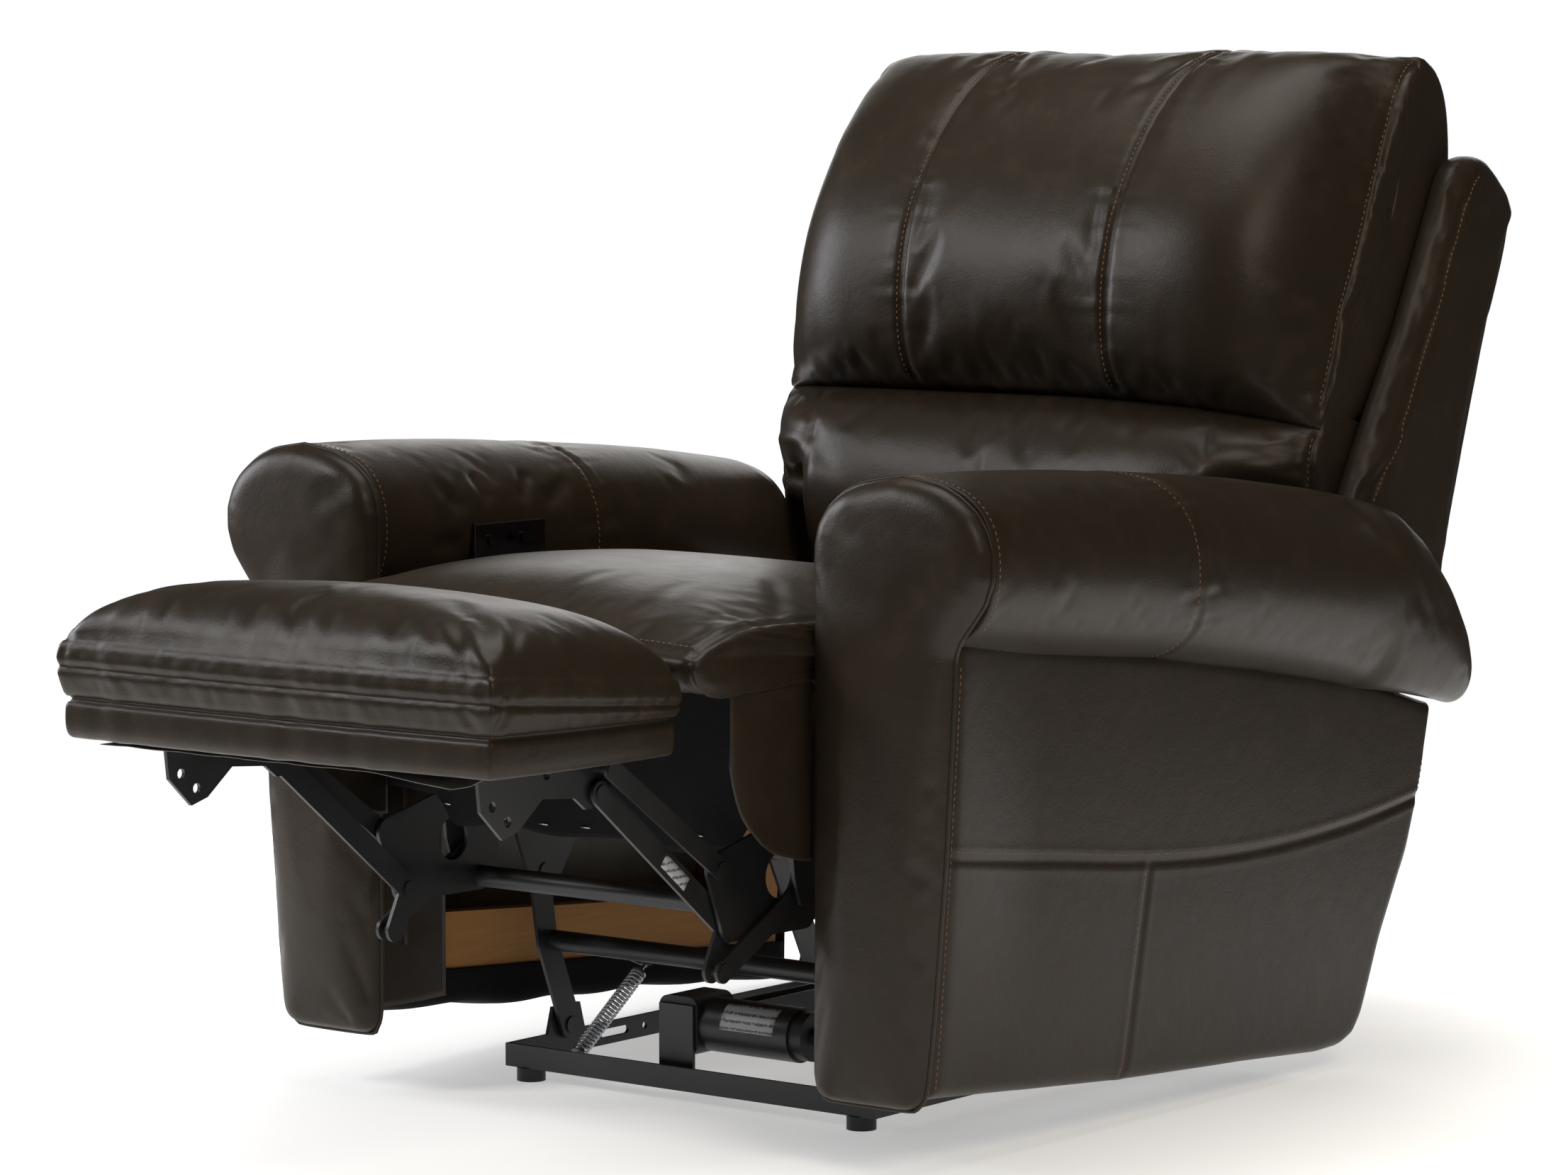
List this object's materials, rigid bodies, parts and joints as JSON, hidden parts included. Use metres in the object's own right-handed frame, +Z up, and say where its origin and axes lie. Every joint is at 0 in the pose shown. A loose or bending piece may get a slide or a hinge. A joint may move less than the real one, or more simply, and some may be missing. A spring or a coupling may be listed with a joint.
{
  "type": "power recliner armchair",
  "caption": "Leather power recliner armchair with rolled arms, reclining back, folding footrest on a scissor linkage, and a gliding base.",
  "frame": {"origin": "centre of the bounding box on the floor in the rest pose", "axes": "+X to the viewer's right seen from the front, +Y to the back, +Z up; the front faces -Y"},
  "size_m": [0.9702, 1.596, 1.062],
  "materials": {
    "leather": "semi-gloss pebble grain",
    "frame_wood": "raw",
    "apron_cloth": "woven",
    "zinc_steel": "zinc plated",
    "black_plastic": "matte",
    "gloss_plastic": "gloss",
    "black_steel": "black enamel"
  },
  "bodies": {
    "base": {"base_front_rail": "black_steel", "base_rear_rail": "black_steel", "base_side_rail_left": "black_steel", "base_side_rail_right": "black_steel", "base_feet": "black_plastic", "foot_nuts": "zinc_steel", "motor_bracket": "black_steel", "motor_gearbox": "black_plastic", "motor_can": "black_steel", "motor_end_cap": "black_plastic", "actuator_track": "black_steel", "track_bracket": "black_steel", "lead_screw": "zinc_steel", "motor_lead": "black_plastic", "assist_spring": "zinc_steel"},
    "front_swing": {"front_swing_link_left": "black_steel", "front_swing_link_right": "black_steel", "front_cross_tube": "black_steel"},
    "rear_swing": {"rear_swing_link_left": "black_steel", "rear_swing_link_right": "black_steel", "rear_cross_tube": "black_steel"},
    "drive_nut": {"drive_nut": "black_plastic"},
    "carriage": {"carriage_plate_left": "black_steel", "carriage_plate_right": "black_steel", "seat_box": "frame_wood", "seat_nose_board": "frame_wood", "seat_springs": "black_steel", "seat_cushion": "leather", "seat_apron": "apron_cloth", "arm_frame_left": "frame_wood", "arm_frame_right": "frame_wood", "arm_outer_panel_left": "leather", "arm_outer_panel_right": "leather", "arm_front_panel_left": "leather", "arm_front_panel_right": "leather", "arm_inner_panel_left": "leather", "arm_inner_panel_right": "leather", "arm_bolster_left": "leather", "arm_bolster_right": "leather", "arm_brackets": "black_steel", "control_plate": "gloss_plastic", "charging_socket": "zinc_steel"},
    "button_open": {"button_open": "gloss_plastic"},
    "button_close": {"button_close": "gloss_plastic"},
    "back": {"back_shell": "leather", "back_frame": "frame_wood", "back_hinge_brackets": "black_steel", "back_lumbar_cushion": "leather", "back_head_cushion": "leather"},
    "lower_links": {"footrest_lower_link_left": "black_steel", "footrest_lower_link_right": "black_steel", "footrest_torque_tube": "black_steel"},
    "upper_links": {"footrest_upper_link_left": "black_steel", "footrest_upper_link_right": "black_steel"},
    "lower_controls": {"footrest_lower_control_links": "black_steel"},
    "upper_controls": {"footrest_upper_control_links": "black_steel"},
    "footrest": {"footrest_bracket_left": "black_steel", "footrest_bracket_right": "black_steel", "footrest_board": "frame_wood", "footrest_pad": "leather"}
  },
  "joints": [
    {"name": "drive_swing", "type": "hinge", "parent": "base", "child": "front_swing", "pos_m": [0, -0.092, 0.045], "axis": [1, 0, 0], "range_deg": [-56, 0], "deforming": ["assist_spring"]},
    {"name": "rear_swing", "type": "hinge", "parent": "base", "child": "rear_swing", "pos_m": [0, 0.337, 0.045], "axis": [1, 0, 0], "range_deg": [-56.6, 0.2]},
    {"name": "carriage_tilt", "type": "hinge", "parent": "front_swing", "child": "carriage", "pos_m": [0, -0.142, 0.215], "axis": [1, 0, 0], "range_deg": [-0.2, 60.7]},
    {"name": "nut_travel", "type": "slide", "parent": "base", "child": "drive_nut", "axis": [0, 1, 0], "range_m": [-0.002, 0.0842]},
    {"name": "back_recline", "type": "hinge", "parent": "carriage", "child": "back", "pos_m": [0, 0.348, 0.4], "axis": [-1, 0, 0], "range_deg": [-8, 45]},
    {"name": "lower_link_fold", "type": "hinge", "parent": "carriage", "child": "lower_links", "pos_m": [0, -0.212, 0.33], "axis": [1, 0, 0], "range_deg": [-0.2, 40.63]},
    {"name": "upper_link_fold", "type": "hinge", "parent": "lower_links", "child": "upper_links", "pos_m": [0, -0.37693, 0.22596], "axis": [1, 0, 0], "range_deg": [-62.41, 0.2]},
    {"name": "footrest_turn", "type": "hinge", "parent": "upper_links", "child": "footrest", "pos_m": [0, -0.562, 0.374], "axis": [1, 0, 0], "range_deg": [-0.2, 105.98]},
    {"name": "lower_control_fold", "type": "hinge", "parent": "carriage", "child": "lower_controls", "pos_m": [0, -0.2715, 0.2525], "axis": [1, 0, 0], "range_deg": [-0.2, 49.2]},
    {"name": "upper_control_fold", "type": "hinge", "parent": "lower_links", "child": "upper_controls", "pos_m": [0, -0.3998, 0.285], "axis": [1, 0, 0], "range_deg": [-70.2, 0.2]},
    {"name": "button_open_press", "type": "slide", "parent": "carriage", "child": "button_open", "axis": [-1, 0, 0], "range_m": [0, 0.002], "stiffness_N_per_m": 400},
    {"name": "button_close_press", "type": "slide", "parent": "carriage", "child": "button_close", "axis": [-1, 0, 0], "range_m": [0, 0.002], "stiffness_N_per_m": 400}
  ],
  "couplings": [
    {"joint": "carriage_tilt", "follows": "drive_swing", "ratio": -1.0804},
    {"joint": "rear_swing", "follows": "drive_swing", "ratio": 1.0071},
    {"joint": "lower_link_fold", "follows": "drive_swing", "ratio": -0.72191},
    {"joint": "upper_link_fold", "follows": "drive_swing", "ratio": 1.1109},
    {"joint": "footrest_turn", "follows": "drive_swing", "ratio": -1.889},
    {"joint": "lower_control_fold", "follows": "drive_swing", "ratio": -0.875},
    {"joint": "upper_control_fold", "follows": "drive_swing", "ratio": 1.25},
    {"joint": "nut_travel", "follows": "drive_swing", "m_per_rad": -0.084102}
  ]
}
